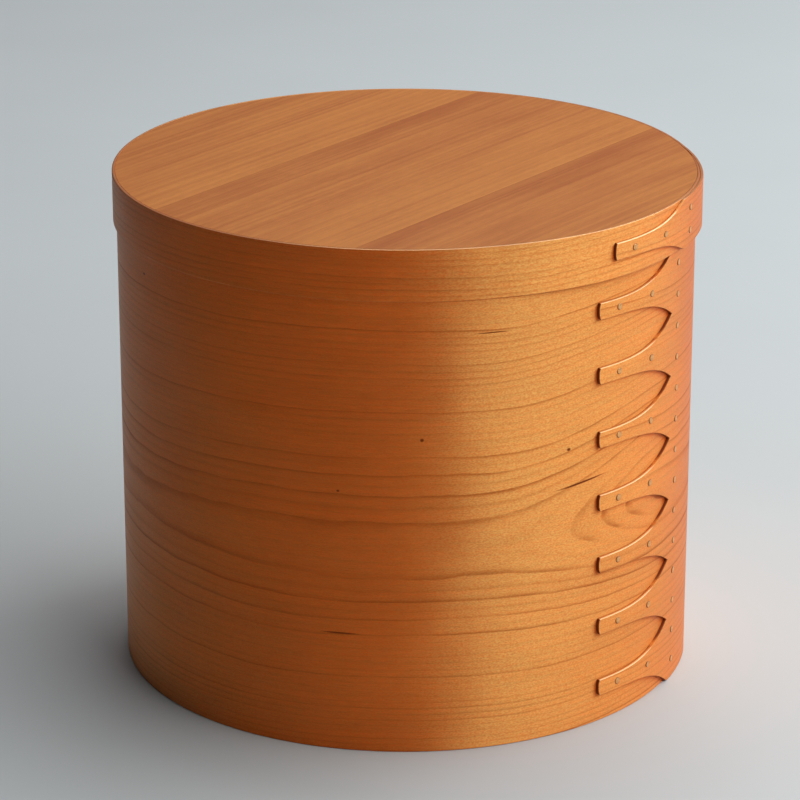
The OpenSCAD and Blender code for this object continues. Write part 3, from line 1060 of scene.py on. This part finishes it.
def set_tacks(name, body, band, sizes, material, *nodes):
    """Drives the tacks of one body's band, in place of their CAD nodes."""
    points = bpy.data.meshes.new(name + ".points")
    radius = band.lap_radius
    turns = [(band.turn(s, z), z) for s, z in band.tacks]
    ways = [(math.cos(a), math.sin(a), 0.0) for a, _ in turns]
    places = [(radius * x, radius * y, z) for (x, y, _), (_, z) in zip(ways, turns)]
    points.from_pydata(places, [], [])
    outward = points.attributes.new("outward", "FLOAT_VECTOR", "POINT")
    outward.data.foreach_set("vector", [number for way in ways for number in way])
    grip = radius - band.radius - band.swell[0]
    values = (
        sizes.head_diameter, sizes.head_height, sizes.shank_diameter, sizes.clinch_diameter, grip
    )
    inputs = dict(zip(TACK_SIZES, values), Seed=TACK_SEEDS[body], Material=material)
    settle(made_by_tree(name, points, tack_tree(), inputs), body, "copper", *nodes)


class PANTRYBOX_OT_box_band(bpy.types.Operator):
    """Bend the box band, with its seven fingers, and finish it in cherry"""

    bl_idname = "pantry_box.box_band"
    bl_label = "Bend Box Band"

    def execute(self, context):
        bend_band(context.scene, "box", box_band_of, BOX_GRAIN)
        return {"FINISHED"}


class PANTRYBOX_OT_lid_band(bpy.types.Operator):
    """Bend the lid band, with its one finger, and finish it in straight-grained cherry"""

    bl_idname = "pantry_box.lid_band"
    bl_label = "Bend Lid Band"

    def execute(self, context):
        bend_band(context.scene, "lid", lid_band_of, LID_GRAIN)
        return {"FINISHED"}


class PANTRYBOX_OT_boards(bpy.types.Operator):
    """Finish the facing leaves, backings and cores of the base and the lid"""

    bl_idname = "pantry_box.boards"
    bl_label = "Finish Boards"

    def execute(self, context):
        finish = context.scene.pantry_box_finish
        for paint, names in ((board_cherry, BOARD_NODES), (board_core, CORE_NODES)):
            material = finish_material(paint.__name__, paint, finish)
            for name in names:
                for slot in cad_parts[name].material_slots:
                    slot.material = material
        return {"FINISHED"}


class PANTRYBOX_OT_tacks(bpy.types.Operator):
    """Drive the copper tacks through both laps"""

    bl_idname = "pantry_box.tacks"
    bl_label = "Drive Tacks"

    def execute(self, context):
        sizes = context.scene.pantry_box_sizes
        finish = context.scene.pantry_box_finish
        material = finish_material("tack_copper", tack_copper, finish)
        nodes = [f"finger_{k}_tacks" for k in range(1, sizes.finger_count + 1)]
        set_tacks("box_tacks", "box", box_band_of(sizes), sizes, material, *nodes)
        set_tacks("lid_tacks_set", "lid", lid_band_of(sizes), sizes, material, "lid_tacks")
        return {"FINISHED"}


class PANTRYBOX_OT_stage(bpy.types.Operator):
    """Lay the floor, hang the lights and set the camera"""

    bl_idname = "pantry_box.stage"
    bl_label = "Set Stage"

    def execute(self, context):
        scene, stage = context.scene, context.scene.pantry_box_stage
        plane = bpy.data.meshes.new("floor")
        corners = [(-1, -1), (1, -1), (1, 1), (-1, 1)]
        places = [(x * FLOOR_HALF, y * FLOOR_HALF, FLOOR_HEIGHT) for x, y in corners]
        plane.from_pydata(places, [], [(0, 1, 2, 3)])
        plane.materials.append(finish_material("floor_paint", floor_paint, stage))
        floor = added("floor", plane)

        self.lamp("window", stage.key_power, stage.key_place, stage.key_size, WINDOW_TONE)
        self.lamp("overhead", stage.sky_power, stage.sky_place, stage.sky_size, OVERHEAD_TONE)
        world = bpy.data.worlds.new("room")
        world.use_nodes = True
        light = world.node_tree.nodes["Background"].inputs["Color"]
        light.default_value = (*stage.room, 1.0)
        scene.world = world
        scene.view_settings.view_transform = "Standard"

        lens = bpy.data.cameras.new("camera")
        lens.lens = stage.focal
        lens.sensor_width = SENSOR_WIDTH
        camera = added("camera", lens)
        back = stage.distance * math.cos(stage.elevation)
        up = stage.aim + stage.distance * math.sin(stage.elevation)
        camera.location = (-stage.aside, -back, up)
        camera.rotation_euler = (math.pi / 2 - stage.elevation, 0.0, 0.0)
        scene.camera = camera
        return {"FINISHED"}

    def lamp(self, name, watts, place, size, tone):
        """Hangs a flat light that faces the box."""
        light = bpy.data.lights.new(name, "AREA")
        light.energy, light.color = watts, tone
        light.shape, light.size, light.size_y = "RECTANGLE", *size
        lamp = added(name, light)
        lamp.location = place
        way = Vector(LAMP_TARGET) - lamp.location
        lamp.rotation_euler = way.to_track_quat("-Z", "Y").to_euler()


OPERATORS = (
    PANTRYBOX_OT_box_band,
    PANTRYBOX_OT_lid_band,
    PANTRYBOX_OT_boards,
    PANTRYBOX_OT_tacks,
    PANTRYBOX_OT_stage,
)
GROUPS = {
    "pantry_box_sizes": PantryBoxSizes,
    "pantry_box_finish": PantryBoxFinish,
    "pantry_box_stage": PantryBoxStage,
}


class PANTRYBOX_PT_panel(bpy.types.Panel):
    """Lists the steps that dress the box, and its sizes"""

    bl_label = "Pantry Box"
    bl_idname = "PANTRYBOX_PT_panel"
    bl_space_type = "VIEW_3D"
    bl_region_type = "UI"
    bl_category = "Pantry Box"

    def draw(self, context):
        for step in OPERATORS:
            self.layout.operator(step.bl_idname)
        for name, group in GROUPS.items():
            box = self.layout.box()
            for key in group.__annotations__:
                box.prop(getattr(context.scene, name), key)


def register():
    for cls in (*GROUPS.values(), *OPERATORS, PANTRYBOX_PT_panel):
        bpy.utils.register_class(cls)
    for name, group in GROUPS.items():
        setattr(bpy.types.Scene, name, bpy.props.PointerProperty(type=group))


def unregister():
    for name in GROUPS:
        delattr(bpy.types.Scene, name)
    for cls in (PANTRYBOX_PT_panel, *reversed(OPERATORS), *GROUPS.values()):
        bpy.utils.unregister_class(cls)


def main():
    register()
    bpy.ops.pantry_box.stage()
    bpy.ops.pantry_box.box_band()
    bpy.ops.pantry_box.lid_band()
    bpy.ops.pantry_box.boards()
    bpy.ops.pantry_box.tacks()


if __name__ == "__main__":
    main()
